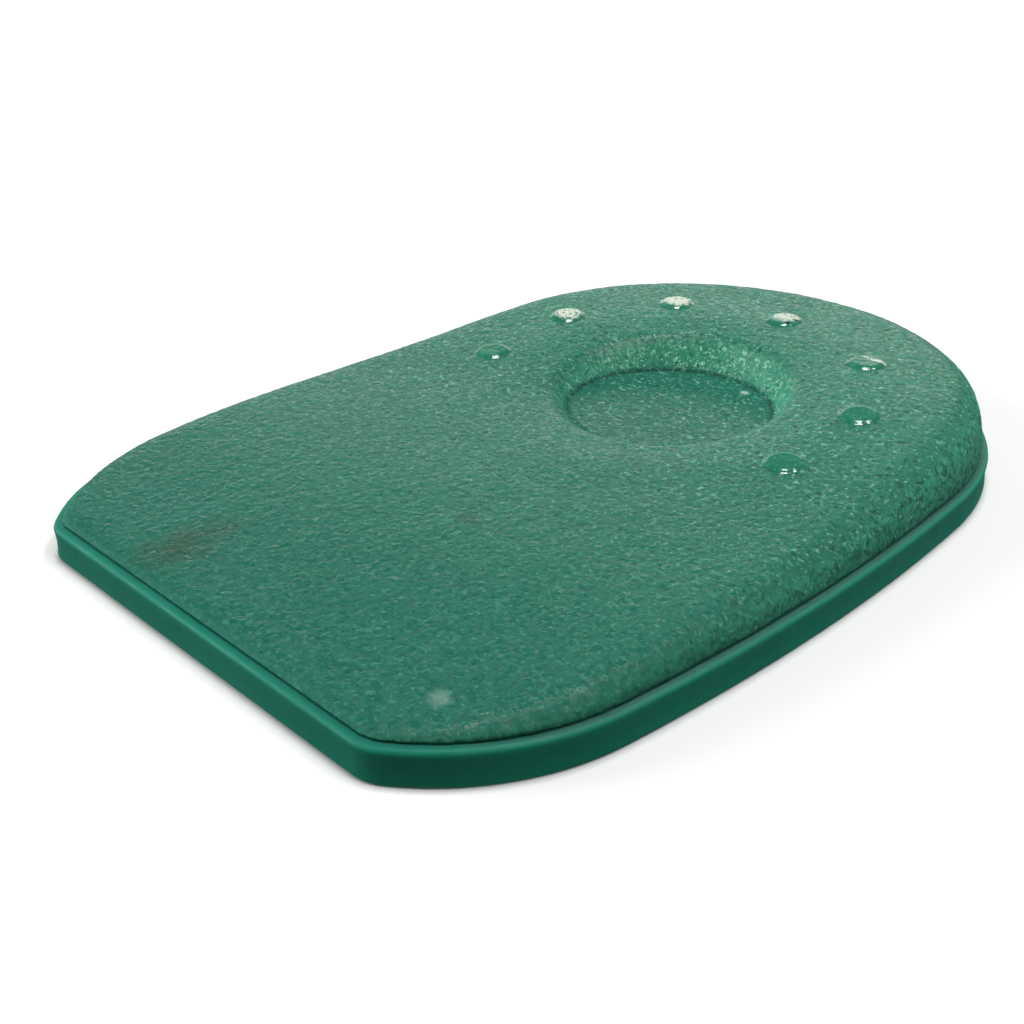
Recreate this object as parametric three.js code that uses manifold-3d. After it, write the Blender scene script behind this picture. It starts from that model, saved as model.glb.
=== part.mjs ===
// A gel heel pad that lies on its flat underside. A smooth gel base ends in a narrow ledge all round.
// On it a grained top rises from the thin front edge to the heel, with a round recess and seven dots.
// Millimetres, +Z up. The front edge faces -Y and the heel +Y, and the origin lies on the surface that
// carries the pad, under the middle of its length.

import * as THREE from 'three';
import { mergeVertices } from 'three/addons/utils/BufferGeometryUtils.js';
import Module from 'manifold-3d';

// Plan outline, alike on both sides of the long axis: tangent arcs from the front corner to the heel
const LENGTH = 96;
const WIDTH = 70;
const HEEL_RADIUS = 32.8;
const WIDEST_FROM_FRONT = 33.5;
const FRONT_TURN_RADIUS = 23.2;
const FRONT_TURN_FROM_FRONT = 17.8;
const CORNER_RADIUS = 4.3;

// Smooth base, with a slight waist in its side
const BASE_HEIGHT = 3.4;
const LEDGE_WIDTH = 0.82;
const RIM_ROUND = 0.45;
const FOOT_ROUND = 0.4;
const WAIST_DEPTH = 0.1;

// Grained top, bonded on the base with a thin bond line between them
const BOND_GAP = 0.2;
const CROWN = [
  { fromFront: 0, aboveLedge: 0.6 },
  { fromFront: 24, aboveLedge: 2.7 },
  { fromFront: 48, aboveLedge: 3.65 },
  { fromFront: 72, aboveLedge: 5.9 },
  { fromFront: 96, aboveLedge: 6.8 },
];
const SHOULDER_WIDTH_FRONT = 2.65;
const SHOULDER_WIDTH_HEEL = 5;
const SHOULDER_FULLNESS = 2.5;

// Round recess under the point of the heel, with a level floor, in a shallow dish
const RECESS_FROM_FRONT = 61.2;
const RECESS_RADIUS = 11.3;
const RECESS_FLOOR_HEIGHT = 5.2;
const RECESS_WALL_WIDTH = 2.8;
const DISH_RADIUS = 20;
const DISH_DEPTH = 0.5;

// Raised dots on a ring round the recess, one on the long axis and the others in pairs, nearly flat on top
const DOT_RING_FROM_FRONT = 61;
const DOT_RING_RADIUS = 22.2;
const DOT_ANGLES_FROM_HEEL = [0, 39.5, 74, 107];
const DOT_RADIUS = 2.35;
const DOT_FLAT_RADIUS = 1.5;
const DOT_HEIGHT = 0.35;
const DOT_SINK = 0.05;
const DOT_ROOT = 1.2;

// Steps of the faceted surfaces
const FRONT_EDGE_STEPS = 6;
const CORNER_STEPS = 6;
const FRONT_TURN_STEPS = 9;
const SIDE_STEPS = 12;
const HEEL_STEPS = 20;
const ROUND_STEPS = 4;
const WAIST_STEPS = 4;
const WALL_STEPS = 6;
const SHOULDER_STEPS = 9;
const CROWN_STEPS = 6;
const FLOOR_STEPS = 2;
const DOT_STEPS = 6;
const DOT_SIDES = 24;
const MERGE_DISTANCE = 1e-4;

const FRONT_Y = -LENGTH / 2;
const HEEL_Y = LENGTH / 2;
const RECESS_CENTRE = new THREE.Vector2(0, FRONT_Y + RECESS_FROM_FRONT);
const DOT_RING_CENTRE = new THREE.Vector2(0, FRONT_Y + DOT_RING_FROM_FRONT);
const TOP_UNDERSIDE = BASE_HEIGHT + BOND_GAP;
const QUARTER_TURN = Math.PI / 2;

const wasm = await Module();
wasm.setup();

// Arcs of the right half, each tangent to the next
function outlineArcs() {
  const heel = new THREE.Vector2(0, HEEL_Y - HEEL_RADIUS);
  const widestY = FRONT_Y + WIDEST_FROM_FRONT;
  const halfWidth = WIDTH / 2;
  const rise = heel.y - widestY;
  const sideRadius = (halfWidth ** 2 + rise ** 2 - HEEL_RADIUS ** 2) / (2 * (halfWidth - HEEL_RADIUS));
  const side = new THREE.Vector2(halfWidth - sideRadius, widestY);
  const heelAngle = Math.atan2(heel.y - side.y, heel.x - side.x);

  const turnAngle = Math.asin((FRONT_Y + FRONT_TURN_FROM_FRONT - widestY) / sideRadius);
  const turnReach = sideRadius - FRONT_TURN_RADIUS;
  const turn = new THREE.Vector2(Math.cos(turnAngle), Math.sin(turnAngle)).multiplyScalar(turnReach).add(side);

  const cornerReach = FRONT_TURN_RADIUS - CORNER_RADIUS;
  const cornerY = FRONT_Y + CORNER_RADIUS;
  const corner = new THREE.Vector2(turn.x + Math.sqrt(cornerReach ** 2 - (cornerY - turn.y) ** 2), cornerY);
  const cornerAngle = Math.atan2(corner.y - turn.y, corner.x - turn.x);

  return [
    { centre: corner, radius: CORNER_RADIUS, from: -QUARTER_TURN, to: cornerAngle, steps: CORNER_STEPS },
    { centre: turn, radius: FRONT_TURN_RADIUS, from: cornerAngle, to: turnAngle, steps: FRONT_TURN_STEPS },
    { centre: side, radius: sideRadius, from: turnAngle, to: heelAngle, steps: SIDE_STEPS },
    { centre: heel, radius: HEEL_RADIUS, from: heelAngle, to: QUARTER_TURN, steps: HEEL_STEPS },
  ];
}

const ARCS = outlineArcs();

// Points of the outline moved in by a distance, counter-clockwise from the middle of the front edge
function outline(inset) {
  const frontEnd = ARCS[0].centre.x;
  const right = [];
  for (let step = 0; step < FRONT_EDGE_STEPS; step += 1) {
    right.push(new THREE.Vector2((frontEnd * step) / FRONT_EDGE_STEPS, FRONT_Y + inset));
  }
  for (const { centre, radius, from, to, steps } of ARCS) {
    const reach = radius - inset;
    const curve = new THREE.EllipseCurve(centre.x, centre.y, reach, reach, from, to, false);
    right.push(...curve.getPoints(steps).slice(0, -1));
  }
  const left = right.slice(1).reverse().map((point) => new THREE.Vector2(-point.x, point.y));
  return [...right, new THREE.Vector2(0, HEEL_Y - inset), ...left];
}

// A flat ring of points at one height
function levelRing(inset, height) {
  return outline(inset).map((point) => new THREE.Vector3(point.x, point.y, height));
}

// Closed solid from a pole through rings of equal length to another pole, from below upwards and inwards
function skin(firstPole, rings, lastPole) {
  const count = rings[0].length;
  const points = [firstPole, ...rings.flat(), lastPole];
  const lastIndex = points.length - 1;
  const at = (ring, place) => 1 + ring * count + (place % count);
  const triangles = [];
  for (let place = 0; place < count; place += 1) {
    triangles.push(0, at(0, place + 1), at(0, place));
    for (let ring = 0; ring + 1 < rings.length; ring += 1) {
      const [lower, lowerNext] = [at(ring, place), at(ring, place + 1)];
      const [upper, upperNext] = [at(ring + 1, place), at(ring + 1, place + 1)];
      triangles.push(lower, lowerNext, upperNext, lower, upperNext, upper);
    }
    triangles.push(at(rings.length - 1, place), at(rings.length - 1, place + 1), lastIndex);
  }
  const geometry = new THREE.BufferGeometry().setFromPoints(points);
  geometry.setIndex(triangles);
  geometry.computeVertexNormals();
  return geometry;
}

// Height of the top over the ledge: a smooth curve through the rows of CROWN
function crownHeight(y) {
  const spacing = CROWN[1].fromFront - CROWN[0].fromFront;
  const place = THREE.MathUtils.clamp((y - FRONT_Y) / spacing, 0, CROWN.length - 1);
  const row = Math.min(Math.floor(place), CROWN.length - 2);
  const share = place - row;
  const height = (index) => CROWN[index].aboveLedge;
  const slope = (index) => {
    const before = Math.max(index - 1, 0);
    const after = Math.min(index + 1, CROWN.length - 1);
    return (height(after) - height(before)) / (after - before);
  };
  const [start, end] = [height(row), height(row + 1)];
  const bend = 2 * (start - end) + slope(row) + slope(row + 1);
  const ease = 3 * (end - start) - 2 * slope(row) - slope(row + 1);
  return start + share * (slope(row) + share * (ease + share * bend));
}

// Height of the top at a place in plan, with the dish that dips towards the recess
function topHeight(place) {
  const fromRecess = Math.hypot(place.x - RECESS_CENTRE.x, place.y - RECESS_CENTRE.y);
  const dip = DISH_DEPTH * (1 - THREE.MathUtils.smoothstep(fromRecess, RECESS_RADIUS, DISH_RADIUS));
  return BASE_HEIGHT + crownHeight(place.y) - dip;
}

function shoulderWidth(y) {
  return THREE.MathUtils.mapLinear(y, FRONT_Y, HEEL_Y, SHOULDER_WIDTH_FRONT, SHOULDER_WIDTH_HEEL);
}

// Base: its side goes from a small round at the foot over a shallow waist to the rounded rim of the ledge
function gelBase() {
  const rings = [];
  for (let step = 0; step <= ROUND_STEPS; step += 1) {
    const turn = (step / ROUND_STEPS) * QUARTER_TURN;
    rings.push(levelRing(FOOT_ROUND * (1 - Math.sin(turn)), FOOT_ROUND * (1 - Math.cos(turn))));
  }
  for (let step = 1; step < WAIST_STEPS; step += 1) {
    const share = step / WAIST_STEPS;
    const height = THREE.MathUtils.lerp(FOOT_ROUND, BASE_HEIGHT - RIM_ROUND, share);
    rings.push(levelRing(WAIST_DEPTH * Math.sin(share * Math.PI), height));
  }
  for (let step = 0; step <= ROUND_STEPS; step += 1) {
    const turn = (step / ROUND_STEPS) * QUARTER_TURN;
    const height = BASE_HEIGHT - RIM_ROUND * (1 - Math.sin(turn));
    rings.push(levelRing(RIM_ROUND * (1 - Math.cos(turn)), height));
  }
  return skin(new THREE.Vector3(0, 0, 0), rings, new THREE.Vector3(0, 0, BASE_HEIGHT));
}

// Shoulder of the top: it stands on the ledge's inner edge and levels out on the crown, a little fuller than
// a quarter of an ellipse
function shoulderRings() {
  const foot = outline(LEDGE_WIDTH);
  const inward = outline(LEDGE_WIDTH + 1).map((point, index) => point.sub(foot[index]));
  const power = 2 / SHOULDER_FULLNESS;
  const rings = [];
  for (let step = 0; step <= SHOULDER_STEPS; step += 1) {
    const turn = (step / SHOULDER_STEPS) * QUARTER_TURN;
    rings.push(foot.map((point, index) => {
      const reach = shoulderWidth(point.y) * (1 - Math.cos(turn) ** power);
      const place = inward[index].clone().multiplyScalar(reach).add(point);
      const height = THREE.MathUtils.lerp(TOP_UNDERSIDE, topHeight(place), Math.sin(turn) ** power);
      return new THREE.Vector3(place.x, place.y, height);
    }));
  }
  return rings;
}

// Rings about the recess, each point in the direction in which the outline's point lies
function recessRing(directions, radius, height) {
  return directions.map((direction) => {
    const place = direction.clone().multiplyScalar(radius).add(RECESS_CENTRE);
    return new THREE.Vector3(place.x, place.y, height(place));
  });
}

// Top without its dots: shoulder, crown, rounded wall of the recess and its level floor
function grainedBody() {
  const shoulder = shoulderRings();
  const brow = shoulder[shoulder.length - 1];
  const directions = brow.map((point) => new THREE.Vector2(point.x, point.y).sub(RECESS_CENTRE).normalize());
  const rim = recessRing(directions, RECESS_RADIUS + RECESS_WALL_WIDTH, topHeight);

  const crown = [];
  for (let step = 1; step <= CROWN_STEPS; step += 1) {
    crown.push(brow.map((point, index) => {
      const place = point.clone().lerp(rim[index], step / CROWN_STEPS);
      return place.setZ(topHeight(place));
    }));
  }
  const recess = [];
  for (let step = WALL_STEPS - 1; step >= 0; step -= 1) {
    const share = step / WALL_STEPS;
    const rise = Math.sin(share * QUARTER_TURN);
    const height = (place) => THREE.MathUtils.lerp(RECESS_FLOOR_HEIGHT, topHeight(place), rise);
    recess.push(recessRing(directions, RECESS_RADIUS + RECESS_WALL_WIDTH * share, height));
  }
  for (let step = 1; step < FLOOR_STEPS; step += 1) {
    const radius = RECESS_RADIUS * (1 - step / FLOOR_STEPS);
    recess.push(recessRing(directions, radius, () => RECESS_FLOOR_HEIGHT));
  }
  const underside = new THREE.Vector3(RECESS_CENTRE.x, RECESS_CENTRE.y, TOP_UNDERSIDE);
  const floor = underside.clone().setZ(RECESS_FLOOR_HEIGHT);
  return skin(underside, [...shoulder, ...crown, ...recess], floor);
}

// One dot: a low button with a soft edge and a root that sits in the top, square to the crown where it stands
function dot(angleFromHeel) {
  const angle = THREE.MathUtils.degToRad(angleFromHeel);
  const place = new THREE.Vector2(Math.sin(angle), Math.cos(angle));
  place.multiplyScalar(DOT_RING_RADIUS).add(DOT_RING_CENTRE);
  const profile = [new THREE.Vector2(0, -DOT_ROOT), new THREE.Vector2(DOT_RADIUS, -DOT_ROOT)];
  for (let step = 0; step <= DOT_STEPS; step += 1) {
    const radius = THREE.MathUtils.lerp(DOT_RADIUS, DOT_FLAT_RADIUS, step / DOT_STEPS);
    const fall = THREE.MathUtils.smoothstep(radius, DOT_FLAT_RADIUS, DOT_RADIUS);
    profile.push(new THREE.Vector2(radius, DOT_HEIGHT * (1 - fall) - DOT_SINK));
  }
  profile.push(new THREE.Vector2(0, DOT_HEIGHT - DOT_SINK));
  const climb = crownHeight(place.y + DOT_RADIUS) - crownHeight(place.y - DOT_RADIUS);
  const normal = new THREE.Vector3(0, -climb, 2 * DOT_RADIUS).normalize();
  const upright = new THREE.Quaternion().setFromUnitVectors(new THREE.Vector3(0, 1, 0), normal);
  return new THREE.LatheGeometry(profile, DOT_SIDES)
    .applyQuaternion(upright)
    .translate(place.x, place.y, topHeight(place));
}

// Solid of a closed geometry, without the flat triangles at a lathe's poles
function toSolid(geometry) {
  const bare = new THREE.BufferGeometry().setAttribute('position', geometry.getAttribute('position'));
  const merged = mergeVertices(bare.setIndex(geometry.getIndex()), MERGE_DISTANCE);
  const corners = merged.getIndex().array;
  const triVerts = [];
  for (let start = 0; start < corners.length; start += 3) {
    const triangle = corners.slice(start, start + 3);
    if (new Set(triangle).size === 3) {
      triVerts.push(...triangle);
    }
  }
  return new wasm.Manifold(new wasm.Mesh({
    numProp: 3,
    vertProperties: new Float32Array(merged.getAttribute('position').array),
    triVerts: new Uint32Array(triVerts),
  }));
}

function toGeometry(solid) {
  const mesh = solid.getMesh();
  const geometry = new THREE.BufferGeometry();
  geometry.setAttribute('position', new THREE.BufferAttribute(mesh.vertProperties, 3));
  geometry.setIndex(new THREE.BufferAttribute(mesh.triVerts, 1));
  geometry.computeVertexNormals();
  return geometry;
}

// Top with its dots moulded on
function grainedTop() {
  let solid = toSolid(grainedBody());
  for (const angle of DOT_ANGLES_FROM_HEEL) {
    for (const side of angle === 0 ? [1] : [1, -1]) {
      solid = solid.add(toSolid(dot(side * angle)));
    }
  }
  return toGeometry(solid);
}

const smoothGel = new THREE.MeshStandardMaterial({ color: 0x1f6650, roughness: 0.3, metalness: 0 });
const grainedGel = new THREE.MeshStandardMaterial({ color: 0x3a7a66, roughness: 0.45, metalness: 0 });

const base = new THREE.Mesh(gelBase(), smoothGel);
base.name = 'gel_base';

const top = new THREE.Mesh(grainedTop(), grainedGel);
top.name = 'grained_top';

const heelPad = new THREE.Group();
heelPad.add(base, top);

export default heelPad;
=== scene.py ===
"""Gel heel pad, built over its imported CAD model: a smooth base, a grained top and seven smooth dots."""

import math

import bmesh
import bpy
import numpy as np
from bpy.props import FloatProperty, FloatVectorProperty, PointerProperty
from mathutils import Matrix, Vector


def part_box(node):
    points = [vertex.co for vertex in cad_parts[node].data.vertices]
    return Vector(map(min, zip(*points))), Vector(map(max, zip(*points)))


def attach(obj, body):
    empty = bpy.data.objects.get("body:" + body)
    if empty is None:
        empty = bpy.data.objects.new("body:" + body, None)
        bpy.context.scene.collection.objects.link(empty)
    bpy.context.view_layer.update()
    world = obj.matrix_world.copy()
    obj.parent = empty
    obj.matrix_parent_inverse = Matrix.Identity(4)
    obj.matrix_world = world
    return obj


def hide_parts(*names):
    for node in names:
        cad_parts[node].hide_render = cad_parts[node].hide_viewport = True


bl_info = {
    "name": "Gel Heel Pad",
    "version": (1, 0, 0),
    "blender": (4, 5, 0),
    "location": "3D View > Sidebar > Heel Pad",
    "description": "Builds a gel heel pad over its packed CAD model",
    "category": "Object",
}

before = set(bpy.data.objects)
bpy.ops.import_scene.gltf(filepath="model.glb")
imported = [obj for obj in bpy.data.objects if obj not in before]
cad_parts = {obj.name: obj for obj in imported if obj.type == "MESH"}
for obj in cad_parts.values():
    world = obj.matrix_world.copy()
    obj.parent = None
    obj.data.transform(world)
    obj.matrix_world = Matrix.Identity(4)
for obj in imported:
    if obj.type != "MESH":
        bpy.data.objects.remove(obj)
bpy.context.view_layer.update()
BASE_LOW, BASE_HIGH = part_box("gel_base")

MM = 0.001
UP = (0.0, 0.0, 1.0)
QUARTER_TURN = math.pi / 2
OUTLINE_SPACING = 0.6 * MM
MERGE_DISTANCE = 0.001 * MM
LOOSE_SKIN = "loose_skin"

FLECK_SIZE = 0.42 * MM
GLINT_SIZE = 0.55 * MM
PATCH_RAGGEDNESS = 1.8

# How far each dot lies off an even ring, to the right and to the heel, in millimetres.
DOT_SHIFTS = (
    (-0.5, -0.6),
    (0.0, 0.0),
    (0.4, 0.45),
    (-0.25, -0.25),
    (0.1, 0.1),
    (0.0, 0.0),
    (0.25, 0.25),
)


def length(name, description, millimetres):
    """A length that a user may change, given in millimetres and kept in metres."""
    return FloatProperty(
        name=name, description=description, default=millimetres * MM, min=0.0, unit="LENGTH", precision=5
    )


def colour(name, description, default):
    """A colour that a user may change."""
    return FloatVectorProperty(
        name=name, description=description, default=default, size=3, min=0.0, max=1.0, subtype="COLOR"
    )


class HeelPadOutline(bpy.types.PropertyGroup):
    """Plan outline, alike on both sides of the long axis."""

    length: length("Length", "From the straight front edge to the heel", (BASE_HIGH.y - BASE_LOW.y) / MM)
    width: length("Width", "Across the widest place", (BASE_HIGH.x - BASE_LOW.x) / MM)
    heel_radius: length("Heel Radius", "Round of the heel", 32.8)
    widest_from_front: length("Widest From Front", "Where the pad is widest", 33.5)
    turn_radius: length("Front Turn Radius", "Round that brings the side in to the front corner", 23.2)
    turn_from_front: length("Front Turn From Front", "Where the side starts to turn in", 17.8)
    corner_radius: length("Corner Radius", "Round of the front corner", 4.3)


class HeelPadBase(bpy.types.PropertyGroup):
    """Smooth lower layer."""

    height: length("Height", "From the underside to the ledge", (BASE_HIGH.z - BASE_LOW.z) / MM)
    ledge_width: length("Ledge Width", "How far the base stands out round the top", 0.82)
    rim_round: length("Rim Round", "Round of the ledge's outer edge", 0.45)
    foot_round: length("Foot Round", "Round of the lower edge", 0.4)
    waist_depth: length("Waist Depth", "How far the side is drawn in", 0.1)
    unevenness: length("Unevenness", "How far the moulded side wanders", 0.07)


class HeelPadTop(bpy.types.PropertyGroup):
    """Grained upper layer."""

    crown: FloatVectorProperty(
        name="Crown",
        description="Height over the ledge at five even steps from the front edge to the heel",
        default=[height * MM for height in (0.6, 2.7, 3.65, 5.9, 6.8)],
        size=5,
        unit="LENGTH",
        precision=5,
    )
    shoulder_front: length("Front Shoulder", "Width of the rounded edge at the front", 2.65)
    shoulder_heel: length("Heel Shoulder", "Width of the rounded edge at the heel", 5.0)
    fullness: FloatProperty(
        name="Fullness",
        description="2 makes a rounded edge an ellipse, more makes it fuller",
        default=2.5,
        min=2.0,
    )
    recess_from_front: length("Recess From Front", "Centre of the round recess", 61.2)
    recess_radius: length("Recess Radius", "Radius of the recess's floor", 11.3)
    recess_floor: length("Recess Floor", "Height of the recess's level floor over the underside", 5.2)
    recess_wall: length("Recess Wall", "Width of the recess's rounded wall", 2.8)
    dish_radius: length("Dish Radius", "Reach of the shallow dish round the recess", 20.0)
    dish_depth: length("Dish Depth", "Depth of the dish at the recess", 0.5)
    mesh_spacing: length("Mesh Spacing", "Size of the faces that carry the grain", 0.28)
    pebble_size: length("Pebble Size", "Width of one pebble of the grain", 0.8)
    pebble_height: length("Pebble Height", "Height of one pebble of the grain", 0.08)
    swell: length("Swell", "Height of the slow waves of the moulded skin", 0.12)


class HeelPadDots(bpy.types.PropertyGroup):
    """Smooth raised dots on a ring round the recess."""

    ring_from_front: length("Ring From Front", "Centre of the ring of dots", 61.0)
    ring_offset: length("Ring Offset", "How far the ring lies left of the long axis", 0.7)
    ring_radius: length("Ring Radius", "From the ring's centre to a dot", 22.2)
    angles: FloatVectorProperty(
        name="Angles",
        description="Angles of the dots from the heel, the last three to both sides",
        default=[math.radians(angle) for angle in (0.0, 39.5, 74.0, 107.0)],
        size=4,
        unit="ROTATION",
    )
    radius: length("Radius", "Radius of a dot where it meets the top", 2.35)
    flat_radius: length("Flat Radius", "Radius of a dot's level top", 1.5)
    height: length("Height", "Height of a dot over the top", 0.35)
    sink: length("Sink", "How far a dot's foot lies under the top", 0.05)
    root: length("Root", "How far a dot reaches into the top", 0.8)
    collar: length("Collar", "Width of the smooth ring round a dot", 0.2)


class HeelPadColours(bpy.types.PropertyGroup):
    """Colours of the gel, of the marks on it, of painted light and shade, and of the floor."""

    base: colour("Base", "Smooth gel of the base", (0.011, 0.235, 0.16))
    top: colour("Top", "Grained gel of the top where it is thin", (0.01, 0.132, 0.088))
    # Painted glow: the top is painted paler where its gel is thick.
    painted_thick_glow: colour("Thick", "Grained gel of the top where it is thick", (0.03, 0.184, 0.116))
    dots: colour("Dots", "Clear gel of the dots", (0.016, 0.19, 0.112))
    fleck: colour("Fleck", "Pale flecks in the grain", (0.09, 0.33, 0.23))
    glint: colour("Glint", "Bright glints in the grain and on the recess's wall", (0.36, 0.68, 0.51))
    # Painted glow of the recess's wall and of the steep shoulder.
    wall: colour("Wall", "Bright gel of the recess's wall and of the shoulder", (0.05, 0.32, 0.2))
    # Pale patches on some of the dots.
    pale_patch: colour("Film", "Pale film on some of the dots", (0.6, 0.65, 0.54))
    smudge: colour("Smudge", "Dirt near the front edge and in the middle", (0.035, 0.05, 0.03))
    # Painted shade on the slope of the heel dot.
    painted_dot_shade: colour("Speck", "Dark specks on a dot", (0.004, 0.012, 0.014))
    # Dust on the ledge and in the recess; the same colour paints a sheen on the ledge's rim and a
    # highlight near the front.
    dust_and_sheen: colour("Dust", "Pale specks and dust on the ledge", (0.5, 0.62, 0.57))
    floor: colour("Floor", "Floor under the pad", (0.86, 0.86, 0.85))


class Value:
    """A socket of a finish, so that sums on it can be written as expressions."""

    def __init__(self, finish, socket):
        self.finish = finish
        self.socket = socket

    def maths(self, operation, *terms):
        """A Math node on these terms."""
        return self.finish.node("ShaderNodeMath", {"operation": operation}, dict(enumerate(terms)))

    def __add__(self, other):
        return self.maths("ADD", self, other)

    def __radd__(self, other):
        return self.maths("ADD", other, self)

    def __sub__(self, other):
        return self.maths("SUBTRACT", self, other)

    def __rsub__(self, other):
        return self.maths("SUBTRACT", other, self)

    def __mul__(self, other):
        return self.maths("MULTIPLY", self, other)

    def __rmul__(self, other):
        return self.maths("MULTIPLY", other, self)


class Finish:
    """A material in the making."""

    def __init__(self, name):
        self.material = bpy.data.materials.new(name)
        self.material.use_nodes = True
        self.tree = self.material.node_tree
        self.shader = self.tree.nodes["Principled BSDF"]

    def node(self, kind, settings, inputs, output=0):
        """A new node with its settings and the values or links of its sockets, as one of its outputs."""
        made = self.tree.nodes.new(kind)
        for name, setting in settings.items():
            setattr(made, name, setting)
        for name, value in inputs.items():
            self.feed(made.inputs[name], value)
        return Value(self, made.outputs[output])

    def feed(self, socket, value):
        """Links a value to a socket, or sets the socket to a constant."""
        if isinstance(value, Value):
            self.tree.links.new(value.socket, socket)
        else:
            socket.default_value = value

    def shade(self, **inputs):
        """Feeds the shader's sockets, named with underscores for spaces."""
        for name, value in inputs.items():
            self.feed(self.shader.inputs[name.replace("_", " ")], value)

    def place(self):
        """Where a point lies on the piece, in metres."""
        return self.node("ShaderNodeTexCoord", {}, {}, "Object")

    def noise(self, place, size, detail=2.0, roughness=0.5, distortion=0.0):
        """Soft noise from about 0 to 1, with waves of a size in metres."""
        return self.node(
            "ShaderNodeTexNoise",
            {"noise_dimensions": "3D"},
            {
                "Vector": place,
                "Scale": 1 / size,
                "Detail": detail,
                "Roughness": roughness,
                "Distortion": distortion,
            },
        )

    def cells(self, place, size):
        """Distance from the middle of the nearest of many cells, in shares of their size."""
        return self.node("ShaderNodeTexVoronoi", {}, {"Vector": place, "Scale": 1 / size}, "Distance")

    def ramp(self, value, first, last, low=0.0, high=1.0):
        """Goes smoothly from low to high while a value goes from first to last."""
        return self.node(
            "ShaderNodeMapRange",
            {"interpolation_type": "SMOOTHSTEP"},
            {"Value": value, "From Min": first, "From Max": last, "To Min": low, "To Max": high},
        )

    def blend(self, share, first, second):
        """The first colour turned into the second by a share."""
        shades = [shade if isinstance(shade, Value) else (*shade, 1.0) for shade in (first, second)]
        return self.node(
            "ShaderNodeMix", {"data_type": "RGBA"}, {0: share, 6: shades[0], 7: shades[1]}, 2
        )

    def noted(self, name):
        """A number that the piece's points carry."""
        return self.node("ShaderNodeAttribute", {"attribute_name": name}, {}, "Fac")

    def spread(self, place, centre, reach):
        """Distance from a centre, where 1 lies on an ellipsoid of that reach."""
        moved = self.node(
            "ShaderNodeMapping",
            {"vector_type": "TEXTURE"},
            {"Vector": place, "Location": centre, "Scale": reach},
        )
        return self.node("ShaderNodeVectorMath", {"operation": "LENGTH"}, {0: moved}, "Value")

    def bump(self, height, depth, under=None):
        """A surface with this relief, over another relief if there is one."""
        inputs = {"Height": height, "Distance": depth}
        if under is not None:
            inputs["Normal"] = under
        return self.node("ShaderNodeBump", {}, inputs, "Normal")


def outline_arcs(pad):
    """Arcs of the right half from the heel to the front corner: centre, radius, first and last angle."""
    front = -pad.length / 2
    heel = Vector((0.0, pad.length / 2 - pad.heel_radius))
    widest = front + pad.widest_from_front
    half_width = pad.width / 2
    side_radius = (half_width**2 + (heel.y - widest) ** 2 - pad.heel_radius**2) / (
        2 * (half_width - pad.heel_radius)
    )
    side = Vector((half_width - side_radius, widest))
    heel_angle = math.atan2(heel.y - side.y, heel.x - side.x)
    turn_angle = math.asin((front + pad.turn_from_front - widest) / side_radius)
    turn_reach = side_radius - pad.turn_radius
    turn = side + turn_reach * Vector((math.cos(turn_angle), math.sin(turn_angle)))
    corner_y = front + pad.corner_radius
    corner_reach = pad.turn_radius - pad.corner_radius
    corner = Vector((turn.x + math.sqrt(corner_reach**2 - (corner_y - turn.y) ** 2), corner_y))
    corner_angle = math.atan2(corner.y - turn.y, corner.x - turn.x)
    return [
        (heel, pad.heel_radius, QUARTER_TURN, heel_angle),
        (side, side_radius, heel_angle, turn_angle),
        (turn, pad.turn_radius, turn_angle, corner_angle),
        (corner, pad.corner_radius, corner_angle, -QUARTER_TURN),
    ]


def from_edge(pad, x, y):
    """How far inside the outline places lie."""
    distance = y + pad.length / 2
    for centre, radius, first, last in outline_arcs(pad):
        across = np.abs(x) - centre.x
        along = y - centre.y
        angle = np.arctan2(along, across)
        within = (angle <= first) & (angle >= last)
        distance = np.where(within, np.minimum(distance, radius - np.hypot(across, along)), distance)
    return distance


def ease(value, first, last):
    """Goes smoothly from 0 to 1 while a value goes from first to last."""
    share = np.clip((value - first) / (last - first), 0.0, 1.0)
    return share * share * (3 - 2 * share)


def crown_height(pad, top, y):
    """Height of the top over the ledge along the long axis."""
    heights = np.array(top.crown)
    last_row = len(heights) - 1
    slopes = np.gradient(heights)
    place = np.clip((y / pad.length + 0.5) * last_row, 0.0, last_row)
    row = np.minimum(place.astype(int), last_row - 1)
    share = place - row
    start, end = heights[row], heights[row + 1]
    bend = 2 * (start - end) + slopes[row] + slopes[row + 1]
    lift = 3 * (end - start) - 2 * slopes[row] - slopes[row + 1]
    return start + share * (slopes[row] + share * (lift + share * bend))


def recess_centre(pad, top):
    """Centre of the recess in plan."""
    return Vector((0.0, top.recess_from_front - pad.length / 2))


def crown_surface(pad, base, top, x, y):
    """Height of the top's upper side without its shoulder and recess."""
    centre = recess_centre(pad, top)
    from_recess = np.hypot(x - centre.x, y - centre.y)
    dip = top.dish_depth * (1 - ease(from_recess, top.recess_radius, top.dish_radius))
    return base.height + crown_height(pad, top, y) - dip


def round_over(top, distance, width):
    """Share of its full height that a rounded edge has at a distance from its foot."""
    share = np.clip(distance / width, 0.0, 1.0)
    return (1 - (1 - share) ** top.fullness) ** (1 / top.fullness)


def top_surface(pad, base, top, x, y):
    """Height of the top's upper side."""
    centre = recess_centre(pad, top)
    from_foot = np.hypot(x - centre.x, y - centre.y) - top.recess_radius
    wall = np.sin(QUARTER_TURN * np.clip(from_foot / top.recess_wall, 0.0, 1.0))
    crown = top.recess_floor + (crown_surface(pad, base, top, x, y) - top.recess_floor) * wall
    shoulder = np.interp(y, [-pad.length / 2, pad.length / 2], [top.shoulder_front, top.shoulder_heel])
    rise = round_over(top, from_edge(pad, x, y) - base.ledge_width, shoulder)
    return base.height + (crown - base.height) * rise


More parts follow.
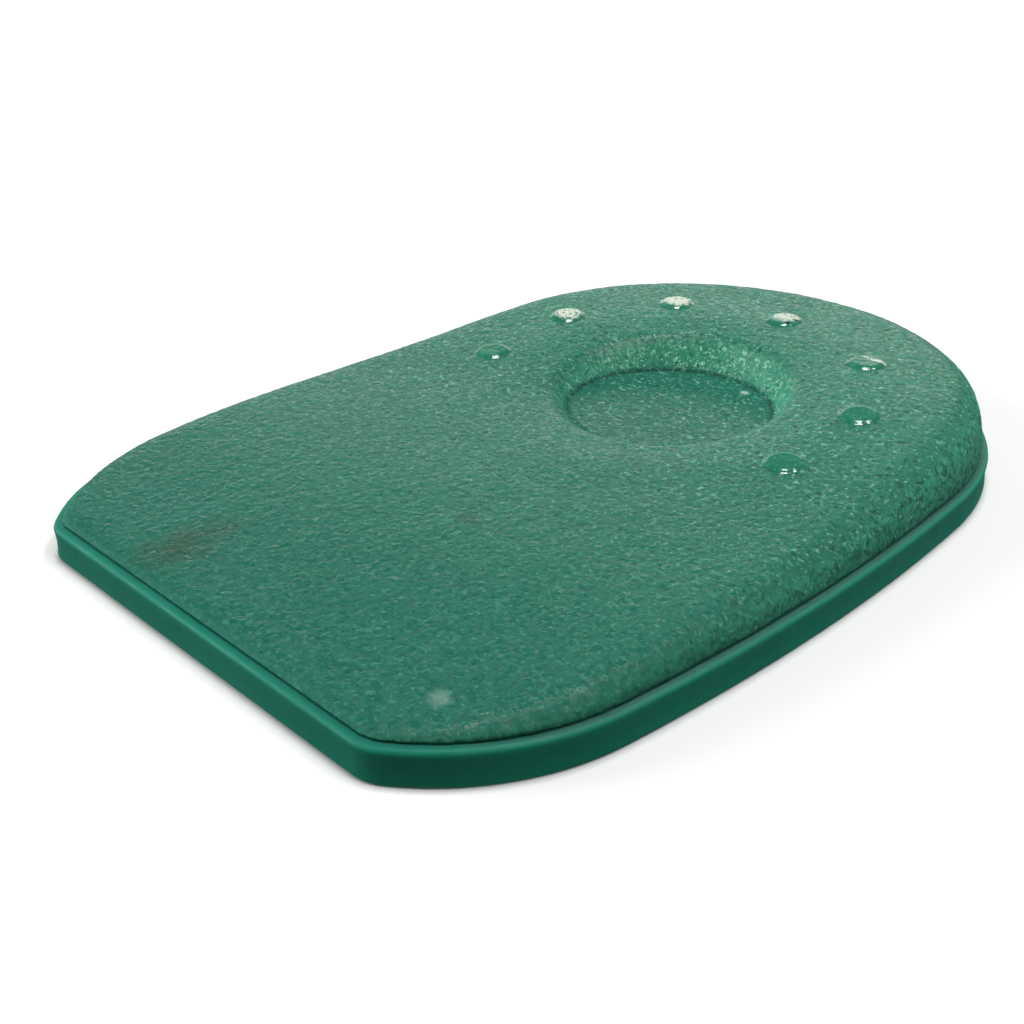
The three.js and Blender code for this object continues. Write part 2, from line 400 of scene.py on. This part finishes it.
def dot_places(pad, dots):
    """Places of the dots in plan, each a little off the even ring."""
    centre = Vector((-dots.ring_offset, dots.ring_from_front - pad.length / 2))
    angles = [dots.angles[0]]
    for angle in dots.angles[1:]:
        angles += [angle, -angle]
    return [
        centre + Vector((math.sin(angle), math.cos(angle))) * dots.ring_radius + Vector(shift) * MM
        for angle, shift in zip(angles, DOT_SHIFTS)
    ]


def points_of(piece):
    """The piece's points as rows of x, y and z."""
    points = np.empty(len(piece.data.vertices) * 3)
    piece.data.vertices.foreach_get("co", points)
    return points.reshape(-1, 3)


def move_points(piece, points):
    """Puts the piece's points at these places."""
    piece.data.vertices.foreach_set("co", points.ravel())
    piece.data.update()


def normals_of(piece):
    """Directions in which the piece's skin faces at its points."""
    return np.array([vertex.normal for vertex in piece.data.vertices])


def deselect_all():
    """Goes to object mode with nothing selected."""
    if bpy.context.object and bpy.context.object.mode != "OBJECT":
        bpy.ops.object.mode_set(mode="OBJECT")
    bpy.ops.object.select_all(action="DESELECT")


def select(piece, kind, test):
    """Selects those of the edited piece's edges or faces that pass a test."""
    bpy.ops.mesh.select_mode(type=kind)
    bpy.ops.mesh.select_all(action="DESELECT")
    mesh = bmesh.from_edit_mesh(piece.data)
    items = {"EDGE": mesh.edges, "FACE": mesh.faces}[kind]
    for item in items:
        item.select_set(test(item))
    mesh.select_flush_mode()
    bmesh.update_edit_mesh(piece.data)


def select_open_edges():
    """Selects the edges at which the edited mesh is open."""
    bpy.ops.mesh.select_mode(type="EDGE")
    bpy.ops.mesh.select_all(action="DESELECT")
    bpy.ops.mesh.select_non_manifold(
        use_wire=False,
        use_boundary=True,
        use_multi_face=False,
        use_non_contiguous=False,
        use_verts=False,
    )


def lies_at(edge, height):
    """Whether an edge lies level at a height."""
    return all(abs(end.co.z - height) < MERGE_DISTANCE for end in edge.verts)


def extrude(move):
    """Extrudes what is selected in the edited mesh and moves it."""
    bpy.ops.mesh.extrude_region_move(TRANSFORM_OT_translate={"value": move})


def draw_outline(name, pad, inset, height):
    """A flat face with the pad's outline moved in, left in edit mode and selected."""
    deselect_all()
    bpy.ops.mesh.primitive_plane_add(size=MM, enter_editmode=True)
    piece = bpy.context.object
    piece.name = name
    bpy.ops.mesh.select_mode(type="VERT")
    bpy.ops.mesh.select_all(action="SELECT")
    bpy.ops.mesh.merge(type="CENTER")
    bpy.ops.transform.translate(value=(0.0, pad.length / 2 - inset, height))
    arcs = outline_arcs(pad)
    for centre, radius, first, last in arcs:
        steps = math.ceil((radius - inset) * (first - last) / OUTLINE_SPACING)
        bpy.ops.mesh.spin(steps=steps, angle=first - last, center=(*centre, height), axis=UP)
    corner_centre = arcs[-1][0]
    steps = math.ceil(corner_centre.x / OUTLINE_SPACING)
    for _ in range(steps):
        extrude((-corner_centre.x / steps, 0.0, 0.0))
    bpy.ops.mesh.select_all(action="SELECT")
    bpy.ops.mesh.symmetrize(direction="POSITIVE_X", threshold=MERGE_DISTANCE)
    bpy.ops.mesh.select_all(action="SELECT")
    bpy.ops.mesh.remove_doubles(threshold=MERGE_DISTANCE)
    bpy.ops.mesh.edge_face_add()
    return piece


def face_outward():
    """Turns all the faces of the edited mesh outward and goes to object mode."""
    bpy.ops.mesh.select_all(action="SELECT")
    bpy.ops.mesh.normals_make_consistent(inside=False)
    bpy.ops.object.mode_set(mode="OBJECT")


def apply_modifier(piece, kind, **settings):
    """Adds a modifier with these settings and applies it."""
    modifier = piece.modifiers.new(kind.title(), kind)
    for name, setting in settings.items():
        setattr(modifier, name, setting)
    bpy.context.view_layer.objects.active = piece
    bpy.ops.object.modifier_apply(modifier=modifier.name)


def loosen(piece, shares):
    """Keeps for each point how far its skin is free to wander, from 0 to 1."""
    group = piece.vertex_groups.new(name=LOOSE_SKIN)
    for index, share in enumerate(shares):
        group.add([index], float(share), "REPLACE")


def wander(piece, name, kind, size, height):
    """Moves the piece's loose skin in and out by a texture whose waves have this size and height."""
    texture = bpy.data.textures.new(name, kind)
    texture.noise_scale = size
    apply_modifier(
        piece,
        "DISPLACE",
        texture=texture,
        texture_coords="LOCAL",
        strength=height,
        mid_level=0.5,
        vertex_group=LOOSE_SKIN,
    )


def note(piece, name, values):
    """Keeps one number for each point, which a finish can read."""
    attribute = piece.data.attributes.new(name, "FLOAT", "POINT")
    attribute.data.foreach_set("value", values.astype(np.float32))


def check_closed(piece):
    """Raises an error if the piece's mesh is open or has stray edges."""
    mesh = bmesh.new()
    mesh.from_mesh(piece.data)
    open_edges = sum(not edge.is_manifold for edge in mesh.edges)
    mesh.free()
    if open_edges:
        raise RuntimeError(f"{piece.name} has {open_edges} open edges")


def complete(piece, material):
    """Gives the piece its material and its body, if it is closed."""
    check_closed(piece)
    deselect_all()
    piece.data.materials.clear()
    piece.data.materials.append(material)
    piece.data.name = piece.name
    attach(piece, "root")


def darker(shade, share):
    """A share of a colour's light."""
    return [part * share for part in shade]


def gel_body(finish, clearness):
    """What all the gel has in common: light goes a short way into it."""
    finish.shade(
        Subsurface_Weight=clearness,
        Subsurface_Radius=(0.2, 1.0, 0.7),
        Subsurface_Scale=3.0 * MM,
        Subsurface_Anisotropy=0.5,
        IOR=1.45,
    )


def patch(finish, place, centre, reach, edge, softness):
    """A ragged patch that fades out, with a softness from 0 to 1, on an ellipsoid of this reach."""
    rough_edge = finish.noise(place, edge, detail=3.0, roughness=0.7) - 0.5
    distance = finish.spread(place, centre, reach) + rough_edge * PATCH_RAGGEDNESS
    return finish.ramp(distance, 1 + softness, 1 - softness)


def smooth_gel(colours):
    """Smooth gel of the base: cloudy and softly glossy, with painted shade in its crease and dust and a
    painted sheen on its ledge.
    """
    finish = Finish("smooth_gel")
    place = finish.place()
    cloud = finish.noise(place, 9 * MM, detail=3.0)
    shade = finish.blend(cloud * 0.6, colours.base, darker(colours.base, 0.6))
    # Painted shade in the crease where the top stands on the ledge.
    shade = finish.blend(finish.noted("crease_shade") * 0.7, shade, darker(colours.base, 0.25))
    specks = finish.ramp(finish.cells(place, 3.1 * MM), 0.05, 0.02)
    dusty = finish.ramp(finish.noise(place, 14 * MM), 0.5, 0.6)
    # Dust specks on the ledge, and a painted sheen on its rounded rim.
    dust_and_sheen = specks * dusty + finish.noted("rim_sheen_and_dust") * 0.1
    shade = finish.blend(dust_and_sheen * 0.6, shade, colours.dust_and_sheen)
    gloss = finish.noise(place, 2.2 * MM, detail=4.0)
    skin = finish.noise(place, 0.9 * MM, detail=4.0, roughness=0.6)
    gel_body(finish, clearness=0.7)
    finish.shade(
        Base_Color=shade,
        Roughness=finish.ramp(gloss, 0.3, 0.7, low=0.45, high=0.6),
        Specular_IOR_Level=0.18,
        Normal=finish.bump(skin, 0.02 * MM),
    )
    return finish.material


def grained_gel(colours, marks):
    """Grained gel of the top with marks on it, and painted light: a glow where it is thick, on its steep
    shoulder and on the recess's wall, glints, and shade in its pits, wrinkles and creases.
    """
    finish = Finish("grained_gel")
    place = finish.place()
    wall = finish.noted("wall")
    shoulder = finish.noted("shoulder")
    crease_shade = finish.noted("crease_shade")
    relief = finish.noted("relief")
    # Colour of the painted shade in the pits and wrinkles of the grain.
    painted_shade_colour = darker(colours.top, 0.35)

    # Painted glow, paler where the gel is thick.
    shade = finish.blend(finish.noted("thickness"), colours.top, colours.painted_thick_glow)
    # Painted glow on the steep shoulder, in the bright colour of the recess's wall.
    shade = finish.blend(finish.ramp(shoulder, 0.08, 0.5) * relief * 0.8, shade, colours.wall)
    cloud = finish.noise(place, 11 * MM, detail=3.0)
    shade = finish.blend(cloud * 0.4, shade, darker(colours.top, 0.7))

    grain = finish.noise(place, 0.6 * MM)
    # Painted shade in the pits of the grain, where its bump is low.
    painted_pit_shade = finish.ramp(grain, 0.45, 0.3) * relief
    shade = finish.blend(painted_pit_shade * 0.65, shade, painted_shade_colour)
    flecks = finish.ramp(finish.noise(place, FLECK_SIZE, detail=1.0), 0.56, 0.7)
    shade = finish.blend(flecks * relief * 0.55, shade, colours.fleck)
    glints = finish.ramp(finish.noise(place, GLINT_SIZE, detail=1.0), 0.62, 0.74)
    shade = finish.blend(glints * (relief - 0.42) * 0.62, shade, colours.glint)

    # Painted glow on the recess's wall, broken by the grain.
    shade = finish.blend(wall * finish.ramp(grain, 0.35, 0.5, low=0.45, high=0.95), shade, colours.wall)
    # Painted glints on the recess's wall.
    painted_wall_glints = finish.ramp(finish.noise(place, GLINT_SIZE, detail=1.0, distortion=1.5), 0.57, 0.66)
    shade = finish.blend(painted_wall_glints * wall * 0.85, shade, colours.glint)
    # Painted shade in the wrinkles of the steep shoulder.
    wrinkles = finish.ramp(finish.noise(place, 0.9 * MM, detail=1.0, distortion=1.2), 0.5, 0.4)
    painted_wrinkle_shade = wrinkles * finish.ramp(shoulder, 0.12, 0.45) * relief
    shade = finish.blend(painted_wrinkle_shade * 0.55, shade, painted_shade_colour)
    # Painted shade, ragged by the grain, in the creases at the recess's floor and at the ledge.
    ragged_crease_shade = crease_shade * finish.ramp(grain, 0.4, 0.56, low=0.1, high=0.9)
    shade = finish.blend(ragged_crease_shade, shade, darker(colours.top, 0.25))

    for centre, reach, strength, mark in marks:
        shade = finish.blend(patch(finish, place, centre, reach, 2.0 * MM, 0.8) * strength, shade, mark)
    specks = finish.ramp(finish.cells(place, 2.2 * MM), 0.07, 0.04)
    shade = finish.blend(specks * 0.7, shade, darker(colours.top, 0.2))

    gloss = finish.noise(place, 0.8 * MM)
    dullness = crease_shade + wall * 0.2 + finish.ramp(shoulder, 0.03, 0.12) * 0.35
    pebbles = finish.ramp(finish.cells(place, 0.85 * MM), 0.5, 0.0)
    raised = pebbles * finish.ramp(finish.noise(place, 1.5 * MM), 0.5, 0.65)
    gel_body(finish, clearness=0.4)
    finish.shade(
        Base_Color=shade,
        Roughness=finish.ramp(gloss, 0.35, 0.6, low=0.2, high=0.45) + dullness,
        Specular_IOR_Level=0.3,
        Normal=finish.bump(grain, 0.12 * MM, under=finish.bump(raised, 0.08 * MM)),
    )
    return finish.material


def dot_gel(colours, pale_patches, specks):
    """Clear gel of the dots, with a glossy skin, duller pale patches on some, and painted shade on the
    heel dot.
    """
    finish = Finish("dot_gel")
    place = finish.place()
    cloud = finish.noise(place, 3 * MM)
    shade = finish.blend(cloud * 0.8, colours.dots, darker(colours.dots, 0.6))
    flecks = finish.ramp(finish.noise(place, FLECK_SIZE, detail=1.0), 0.5, 0.7)
    shade = finish.blend(flecks * 0.4, shade, colours.fleck)
    patch_breaks = finish.ramp(finish.noise(place, 0.35 * MM), 0.35, 0.48)
    dullness = 0.0
    # Pale patches on some dots, which are also duller.
    for centre, reach in pale_patches:
        pale_patch = patch(finish, place, centre, reach, 0.6 * MM, 0.2) * patch_breaks
        shade = finish.blend(pale_patch * 0.9, shade, colours.pale_patch)
        dullness = pale_patch * 0.4 + dullness
    # Spots of painted shade on the slope of the heel dot.
    for centre, reach in specks:
        shade = finish.blend(patch(finish, place, centre, reach, 0.3 * MM, 0.3), shade, colours.painted_dot_shade)
    gloss = finish.noise(place, 0.8 * MM, detail=3.0)
    gel_body(finish, clearness=0.25)
    finish.shade(
        Base_Color=shade,
        Roughness=finish.ramp(gloss, 0.3, 0.7, low=0.06, high=0.14) + dullness,
        Normal=finish.bump(finish.noise(place, 0.6 * MM), 0.03 * MM),
    )
    return finish.material


class HEELPAD_OT_gel_base(bpy.types.Operator):
    """Smooth base with a waisted side and a rounded ledge"""

    bl_idname = "heel_pad.gel_base"
    bl_label = "Gel Base"

    rim_segments = 8
    foot_segments = 5
    waist_shares = np.linspace(0.1, 0.9, 9)
    wave_size = 5 * MM
    sharp_angle = math.radians(50)

    def draw_block(self, pad, base):
        """A block with a rounded rim and foot, and rows of points up its side."""
        piece = draw_outline("heel_pad_base", pad, 0.0, 0.0)
        extrude((0.0, 0.0, base.height))
        bpy.ops.mesh.select_all(action="SELECT")
        bpy.ops.mesh.normals_make_consistent(inside=False)
        for height, edge_round, segments in (
            (base.height, base.rim_round, self.rim_segments),
            (0.0, base.foot_round, self.foot_segments),
        ):
            select(piece, "EDGE", lambda edge: lies_at(edge, height))
            bpy.ops.mesh.bevel(offset=edge_round, segments=segments, affect="EDGES")
        side_height = base.height - base.rim_round - base.foot_round
        for share in self.waist_shares:
            bpy.ops.mesh.select_all(action="SELECT")
            level = base.foot_round + share * side_height
            bpy.ops.mesh.bisect(plane_co=(0.0, 0.0, level), plane_no=UP)
        bpy.ops.object.mode_set(mode="OBJECT")
        return piece

    def draw_in_waist(self, piece, base):
        """Draws the middle of the side in."""
        points = points_of(piece)
        side_height = base.height - base.rim_round - base.foot_round
        share = np.clip((points[:, 2] - base.foot_round) / side_height, 0.0, 1.0)
        outward = normals_of(piece)
        outward[:, 2] = 0.0
        points -= outward * (base.waist_depth * np.sin(share * math.pi))[:, None]
        move_points(piece, points)

    def note_ledge(self, piece, pad, base):
        """Notes for the finish the crease, where shade is painted, and the rim, where a sheen and dust are
        painted; both are less at the front.
        """
        points = points_of(piece)
        inside = from_edge(pad, points[:, 0], points[:, 1])
        from_front = points[:, 1] + pad.length / 2
        behind_front = ease(from_front, 2 * MM, 15 * MM)
        note(piece, "crease_shade", ease(inside / base.ledge_width, 0.0, 1 - 0.4 * behind_front))
        # The rounded rim, where a sheen and dust are painted.
        note(piece, "rim_sheen_and_dust", behind_front * ease(points[:, 2], base.height - base.rim_round, base.height))

    def execute(self, context):
        scene = context.scene
        pad, base = scene.heel_pad_outline, scene.heel_pad_base
        piece = self.draw_block(pad, base)
        self.draw_in_waist(piece, base)
        loosen(piece, ease(points_of(piece)[:, 2], 0.0, base.foot_round))
        self.note_ledge(piece, pad, base)
        wander(piece, "side waves", "CLOUDS", self.wave_size, base.unevenness)
        bpy.ops.object.shade_smooth_by_angle(angle=self.sharp_angle)
        complete(piece, smooth_gel(scene.heel_pad_colours))
        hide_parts("gel_base")
        return {"FINISHED"}


class HEELPAD_OT_grained_top(bpy.types.Operator):
    """Grained top that rises to the heel, with a round recess"""

    bl_idname = "heel_pad.grained_top"
    bl_label = "Grained Top"

    first_rise = 0.1 * MM
    least_rise = 0.05 * MM
    shoulder_steps = (0.02, 0.08, 0.15, 0.25, 0.35, 0.5, 0.6, 0.6, 0.6)
    crown_cuts = 24
    dish_radii = (18.0, 16.0, 14.6)
    wall_shares = (1.0, 0.8, 0.62, 0.46, 0.32, 0.2, 0.1, 0.04, 0.01, 0.0)
    floor_inset = 0.4 * MM
    wave_size = 7 * MM

    def draw_rings(self, pad, base, top):
        """Rings of the shoulder and of the recess, with the crown bridged between them."""
        piece = draw_outline("heel_pad_top", pad, base.ledge_width, base.height)
        extrude((0.0, 0.0, self.first_rise))
        for step in self.shoulder_steps:
            bpy.ops.mesh.inset(thickness=step * MM)
        bpy.ops.mesh.delete(type="ONLY_FACE")
        select_open_edges()
        rim_points = sum(1 for edge in bmesh.from_edit_mesh(piece.data).edges if edge.select)
        centre = recess_centre(pad, top)
        bpy.ops.mesh.primitive_circle_add(
            vertices=rim_points,
            radius=top.dish_radius,
            fill_type="NGON",
            location=(centre.x, centre.y, base.height + top.crown[0]),
        )
        radii = [top.dish_radius]
        radii += [radius * MM for radius in self.dish_radii]
        radii += [top.recess_radius + share * top.recess_wall for share in self.wall_shares]
        radii += [top.recess_radius - self.floor_inset]
        for outer, inner in zip(radii, radii[1:]):
            bpy.ops.mesh.inset(thickness=outer - inner)
        select_open_edges()
        bpy.ops.mesh.bridge_edge_loops(number_cuts=self.crown_cuts, interpolation="LINEAR")
        face_outward()
        return piece

    def lift(self, piece, pad, base, top):
        """Lifts the rings to the top's real height."""
        points = points_of(piece)
        upper = points[:, 2] > base.height + MERGE_DISTANCE
        heights = top_surface(pad, base, top, points[:, 0], points[:, 1])
        points[upper, 2] = np.maximum(heights[upper], base.height + self.least_rise)
        move_points(piece, points)

    def join_underside(self, piece, base, top):
        """Turns the many faces of the hidden underside into one."""
        bpy.ops.object.mode_set(mode="EDIT")
        low = base.height + 0.5 * top.mesh_spacing
        select(piece, "FACE", lambda face: face.normal.z < -0.7 and face.calc_center_median().z < low)
        bpy.ops.mesh.delete(type="FACE")
        select_open_edges()
        bpy.ops.mesh.edge_face_add()
        bpy.ops.object.mode_set(mode="OBJECT")

    def loosen_skin(self, piece, pad, base, dots):
        """Frees the skin to wander, but not at the ledge or under the dots."""
        points = points_of(piece)
        rises = ease(points[:, 2] - base.height, 0.1 * MM, 0.5 * MM)
        from_dots = np.min(
            [np.hypot(points[:, 0] - dot.x, points[:, 1] - dot.y) for dot in dot_places(pad, dots)], axis=0
        )
        clear = ease(from_dots, dots.radius - 0.3 * MM, dots.radius + dots.collar)
        loosen(piece, rises * clear)

    def note_places(self, piece, pad, base, top):
        """Notes for the finish how steep and thick the top is, how strong its grain, and its creases."""
        points = points_of(piece)
        centre = recess_centre(pad, top)
        from_foot = np.hypot(points[:, 0] - centre.x, points[:, 1] - centre.y) - top.recess_radius
        from_floor = np.hypot(from_foot, points[:, 2] - top.recess_floor)
        from_front = points[:, 1] + pad.length / 2
        from_ledge = points[:, 2] - base.height
        steepness = 1 - normals_of(piece)[:, 2]
        in_recess = ease(from_foot, 1.2 * top.recess_wall, top.recess_wall)
        # Where the finish paints the glow of the recess's wall.
        note(piece, "wall", ease(steepness, 0.12, 0.6) * in_recess)
        # Steepness away from the recess, where the finish paints a glow and shade in the wrinkles, and
        # dulls the gloss.
        note(piece, "shoulder", steepness * (1 - in_recess))
        # How thick the gel is, for the painted glow of the top.
        note(piece, "thickness", ease(from_ledge, 1.0 * MM, 6.5 * MM))
        note(piece, "relief", 0.5 + 0.5 * ease(from_front, 15 * MM, 60 * MM))
        # Creases at the recess's floor and at the ledge, where the finish paints shade.
        at_floor = 0.8 * ease(from_floor, 0.7 * MM, 0.1 * MM)
        at_ledge = 0.4 * ease(from_ledge, 0.5 * MM, 0.1 * MM)
        note(piece, "crease_shade", np.maximum(at_floor, at_ledge))

    def marks(self, colours):
        """Marks on the top, of dirt and dust and one painted highlight: centre, reach, strength and
        colour.
        """
        places = (
            ((-10.4, -42.0, 5.0), (2.4, 3.4, 6.0), 0.5, colours.smudge),
            ((-9.8, -37.0, 5.0), (1.4, 2.2, 6.0), 0.25, colours.smudge),
            ((6.2, -21.7, 6.0), (1.1, 0.8, 6.0), 0.4, colours.smudge),
            # A painted highlight near the front corner, in the dust colour.
            ((24.7, -40.7, 5.0), (0.8, 0.8, 6.0), 0.22, colours.dust_and_sheen),
            ((3.0, 22.6, 5.2), (0.5, 0.35, 2.0), 0.7, colours.dust_and_sheen),
        )
        return [
            (Vector(centre) * MM, Vector(reach) * MM, strength, mark)
            for centre, reach, strength, mark in places
        ]

    def execute(self, context):
        scene = context.scene
        pad, base, top = scene.heel_pad_outline, scene.heel_pad_base, scene.heel_pad_top
        colours = scene.heel_pad_colours
        piece = self.draw_rings(pad, base, top)
        self.lift(piece, pad, base, top)
        apply_modifier(piece, "REMESH", mode="VOXEL", voxel_size=top.mesh_spacing, use_smooth_shade=True)
        self.join_underside(piece, base, top)
        self.loosen_skin(piece, pad, base, scene.heel_pad_dots)
        self.note_places(piece, pad, base, top)
        wander(piece, "slow waves", "CLOUDS", self.wave_size, top.swell)
        wander(piece, "pebbles", "VORONOI", top.pebble_size, -top.pebble_height)
        complete(piece, grained_gel(colours, self.marks(colours)))
        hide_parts("grained_top")
        return {"FINISHED"}


class HEELPAD_OT_dots(bpy.types.Operator):
    """Seven smooth raised dots round the recess"""

    bl_idname = "heel_pad.dots"
    bl_label = "Dots"

    sides = 56
    rings = 18
    sharp_angle = math.radians(40)

    # Number of the dot from 0, centre from its middle and reach of each pale patch and of each spot of
    # painted shade, in millimetres.
    pale_patches = (
        (0, (-0.1, 0.7), (1.7, 1.3)),
        (1, (0.7, 0.75), (1.6, 0.35)),
        (2, (-0.2, 0.3), (2.0, 1.6)),
        (4, (-0.2, 0.3), (1.9, 1.5)),
    )
    # Spots of painted shade on the slope of the heel dot.
    specks = (
        (0, (1.15, -0.95), (0.3, 0.3)),
        (0, (1.45, 0.25), (0.26, 0.26)),
    )

    def on_dots(self, marks, places, height):
        """Centre and reach of marks that are given from the middle of their dots."""
        made = []
        for dot, shift, reach in marks:
            centre = places[dot] + Vector(shift) * MM
            made.append(((*centre, height), (*(Vector(reach) * MM), height)))
        return made

    def draw_dot(self, dots):
        """A low button with a level top, a soft edge and a root."""
        deselect_all()
        bpy.ops.mesh.primitive_circle_add(vertices=self.sides, radius=dots.radius, fill_type="NGON")
        model = bpy.context.object
        bpy.ops.object.mode_set(mode="EDIT")
        bpy.ops.mesh.select_all(action="SELECT")
        extrude((0.0, 0.0, dots.root))
        for _ in range(self.rings):
            bpy.ops.mesh.inset(thickness=dots.radius / (self.rings + 0.5))
        bpy.ops.mesh.poke()
        face_outward()
        points = points_of(model)
        upper = points[:, 2] > 0.5 * dots.root
        from_middle = np.hypot(points[:, 0], points[:, 1])
        heights = dots.height * ease(from_middle, dots.radius, dots.flat_radius) - dots.sink
        points[:, 2] = np.where(upper, heights, -dots.root)
        move_points(model, points)
        return model

    def set_copy(self, model, place, height, tilt):
        """A copy of the dot with a mesh of its own, set on the top."""
        deselect_all()
        model.select_set(True)
        bpy.context.view_layer.objects.active = model
        bpy.ops.object.duplicate(linked=False)
        piece = bpy.context.object
        piece.rotation_euler = (tilt, 0.0, 0.0)
        piece.location = (*place, height)
        bpy.ops.object.transform_apply(location=True, rotation=True, scale=True)
        bpy.ops.object.shade_smooth_by_angle(angle=self.sharp_angle)
        return piece

    def execute(self, context):
        scene = context.scene
        pad, base, top = scene.heel_pad_outline, scene.heel_pad_base, scene.heel_pad_top
        dots = scene.heel_pad_dots
        places = dot_places(pad, dots)
        highest = base.height + top.crown[-1]
        pale_patches = self.on_dots(self.pale_patches, places, highest)
        specks = self.on_dots(self.specks, places, highest)
        material = dot_gel(scene.heel_pad_colours, pale_patches, specks)
        model = self.draw_dot(dots)
        for number, place in enumerate(places, start=1):
            ends = np.array([place.y - dots.radius, place.y + dots.radius])
            rise = np.diff(crown_height(pad, top, ends))[0]
            tilt = math.atan2(rise, 2 * dots.radius)
            height = crown_surface(pad, base, top, np.array([place.x]), np.array([place.y]))[0]
            piece = self.set_copy(model, place, height, tilt)
            piece.name = f"heel_pad_dot_{number}"
            complete(piece, material)
        bpy.data.objects.remove(model)
        return {"FINISHED"}


class HEELPAD_OT_stage(bpy.types.Operator):
    """Pale floor, soft lights and the camera"""

    bl_idname = "heel_pad.stage"
    bl_label = "Stage"

    floor_size = 6.0
    floor_cloud_size = 0.3
    surround_strength = 0.18
    camera_place = Vector((94.28, -97.22, 65.85)) * MM
    camera_target = Vector((3.18, -13.32, 2.88)) * MM
    camera_roll = math.radians(-0.52)
    camera_lens = 49.96
    camera_sensor = 36.0

    # Name, shape, place, width, height and power of each light.
    lights = (
        ("overhead_light", "DISK", (-0.1, 0.09, 1.49), 0.45, 0.45, 11.0),
        ("second_overhead_light", "DISK", (0.3, 0.52, 1.37), 0.24, 0.24, 3.0),
        ("back_light", "RECTANGLE", (-1.1, 1.02, 0.44), 1.6, 0.55, 3.2),
        ("left_light", "RECTANGLE", (-1.3, -1.05, 0.62), 1.0, 1.0, 21.0),
        ("right_light", "RECTANGLE", (0.75, 0.2, 1.2), 0.6, 0.6, 8.0),
    )

    def add_floor(self, colours):
        """A pale floor under the pad, which throws no light back on it."""
        deselect_all()
        bpy.ops.mesh.primitive_plane_add(size=self.floor_size)
        floor = bpy.context.object
        floor.name = "floor"
        floor.visible_diffuse = False
        floor.visible_glossy = False
        finish = Finish("pale_floor")
        cloud = finish.noise(finish.place(), self.floor_cloud_size)
        shade = finish.blend(cloud, colours.floor, darker(colours.floor, 0.97))
        finish.shade(Base_Color=shade, Roughness=0.9)
        floor.data.materials.append(finish.material)

    def add_lights(self):
        """Soft lights that face the pad, and a dim surround."""
        for name, shape, place, width, height, power in self.lights:
            facing = (-Vector(place)).to_track_quat("-Z", "Y").to_euler()
            bpy.ops.object.light_add(type="AREA", location=place, rotation=facing)
            light = bpy.context.object
            light.name = name
            light.visible_camera = False
            light.data.shape = shape
            light.data.size = width
            light.data.size_y = height
            light.data.energy = power
        world = bpy.data.worlds.new("surround")
        world.use_nodes = True
        background = world.node_tree.nodes["Background"]
        background.inputs["Color"].default_value = (1.0, 1.0, 1.0, 1.0)
        background.inputs["Strength"].default_value = self.surround_strength
        bpy.context.scene.world = world

    def add_camera(self):
        """The camera at the photograph's viewing angle."""
        look = self.camera_target - self.camera_place
        turn = look.to_track_quat("-Z", "Y").to_matrix().to_4x4()
        turn @= Matrix.Rotation(self.camera_roll, 4, Vector(UP))
        bpy.ops.object.camera_add(location=self.camera_place, rotation=turn.to_euler())
        camera = bpy.context.object
        camera.name = "camera"
        camera.data.lens = self.camera_lens
        camera.data.sensor_width = self.camera_sensor
        camera.data.clip_start = MM
        bpy.context.scene.camera = camera

    def execute(self, context):
        self.add_floor(context.scene.heel_pad_colours)
        self.add_lights()
        self.add_camera()
        context.scene.view_settings.view_transform = "Standard"
        return {"FINISHED"}


class HEELPAD_PT_pieces(bpy.types.Panel):
    """The pad's sizes and pieces"""

    bl_idname = "HEELPAD_PT_pieces"
    bl_label = "Gel Heel Pad"
    bl_space_type = "VIEW_3D"
    bl_region_type = "UI"
    bl_category = "Heel Pad"

    def draw(self, context):
        layout = self.layout
        for group in SETTINGS:
            settings = getattr(context.scene, group)
            box = layout.box()
            for name in settings.__annotations__:
                box.prop(settings, name)
        for operator in PIECES:
            layout.operator(operator.bl_idname)


SETTINGS = {
    "heel_pad_outline": HeelPadOutline,
    "heel_pad_base": HeelPadBase,
    "heel_pad_top": HeelPadTop,
    "heel_pad_dots": HeelPadDots,
    "heel_pad_colours": HeelPadColours,
}
PIECES = (HEELPAD_OT_gel_base, HEELPAD_OT_grained_top, HEELPAD_OT_dots, HEELPAD_OT_stage)
CLASSES = (*SETTINGS.values(), *PIECES, HEELPAD_PT_pieces)


def register():
    """Makes the settings, the operators and the panel known to Blender."""
    for made in CLASSES:
        bpy.utils.register_class(made)
    for name, group in SETTINGS.items():
        setattr(bpy.types.Scene, name, PointerProperty(type=group))


def unregister():
    """Takes back what register did."""
    for name in SETTINGS:
        delattr(bpy.types.Scene, name)
    for made in reversed(CLASSES):
        bpy.utils.unregister_class(made)


def main():
    """Builds the pad and its stage."""
    register()
    bpy.ops.heel_pad.gel_base()
    bpy.ops.heel_pad.grained_top()
    bpy.ops.heel_pad.dots()
    bpy.ops.heel_pad.stage()


if __name__ == "__main__":
    main()
